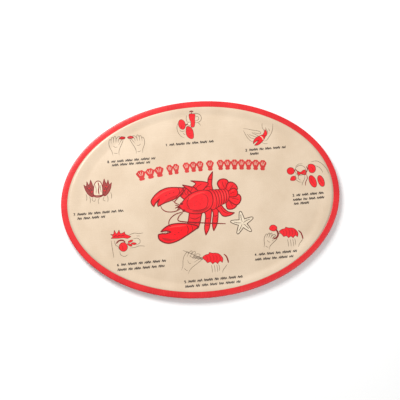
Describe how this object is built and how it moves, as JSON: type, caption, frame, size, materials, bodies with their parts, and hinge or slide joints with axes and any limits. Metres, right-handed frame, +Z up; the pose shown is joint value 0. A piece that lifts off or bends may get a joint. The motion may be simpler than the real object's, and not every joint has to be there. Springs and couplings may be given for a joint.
{
  "type": "oval serving platter",
  "caption": "Shallow oval melamine serving platter on a foot ring, with a red rim band and a printed picture of how to eat a lobster.",
  "frame": {"origin": "centre of the base of the foot ring", "axes": "+X along the platter's length, +Y to the top edge of its picture, +Z up"},
  "size_m": [0.356, 0.254, 0.01],
  "materials": {
    "body_resin": "moulded melamine, gloss, cream",
    "ground_foil": "printed foil under clear glaze, warm tan",
    "rim_red": "red foil under clear glaze",
    "title_ink": "red print under clear glaze",
    "shell_ink": "lobster red print under clear glaze",
    "outline_ink": "dark brown-red print under clear glaze",
    "step_ink": "brown line print with red shell colour under clear glaze"
  },
  "bodies": {
    "root": {"platter_body": "body_resin", "ground_foil": "ground_foil", "rim_band": "rim_red", "title_print": "title_ink", "lobster_print": "shell_ink", "starfish_print": "outline_ink", "step_1_print": "step_ink", "step_2_print": "step_ink", "step_3_print": "step_ink", "step_4_print": "step_ink", "step_5_print": "step_ink", "step_6_print": "step_ink", "step_7_print": "step_ink", "step_8_print": "step_ink"}
  },
  "joints": []
}
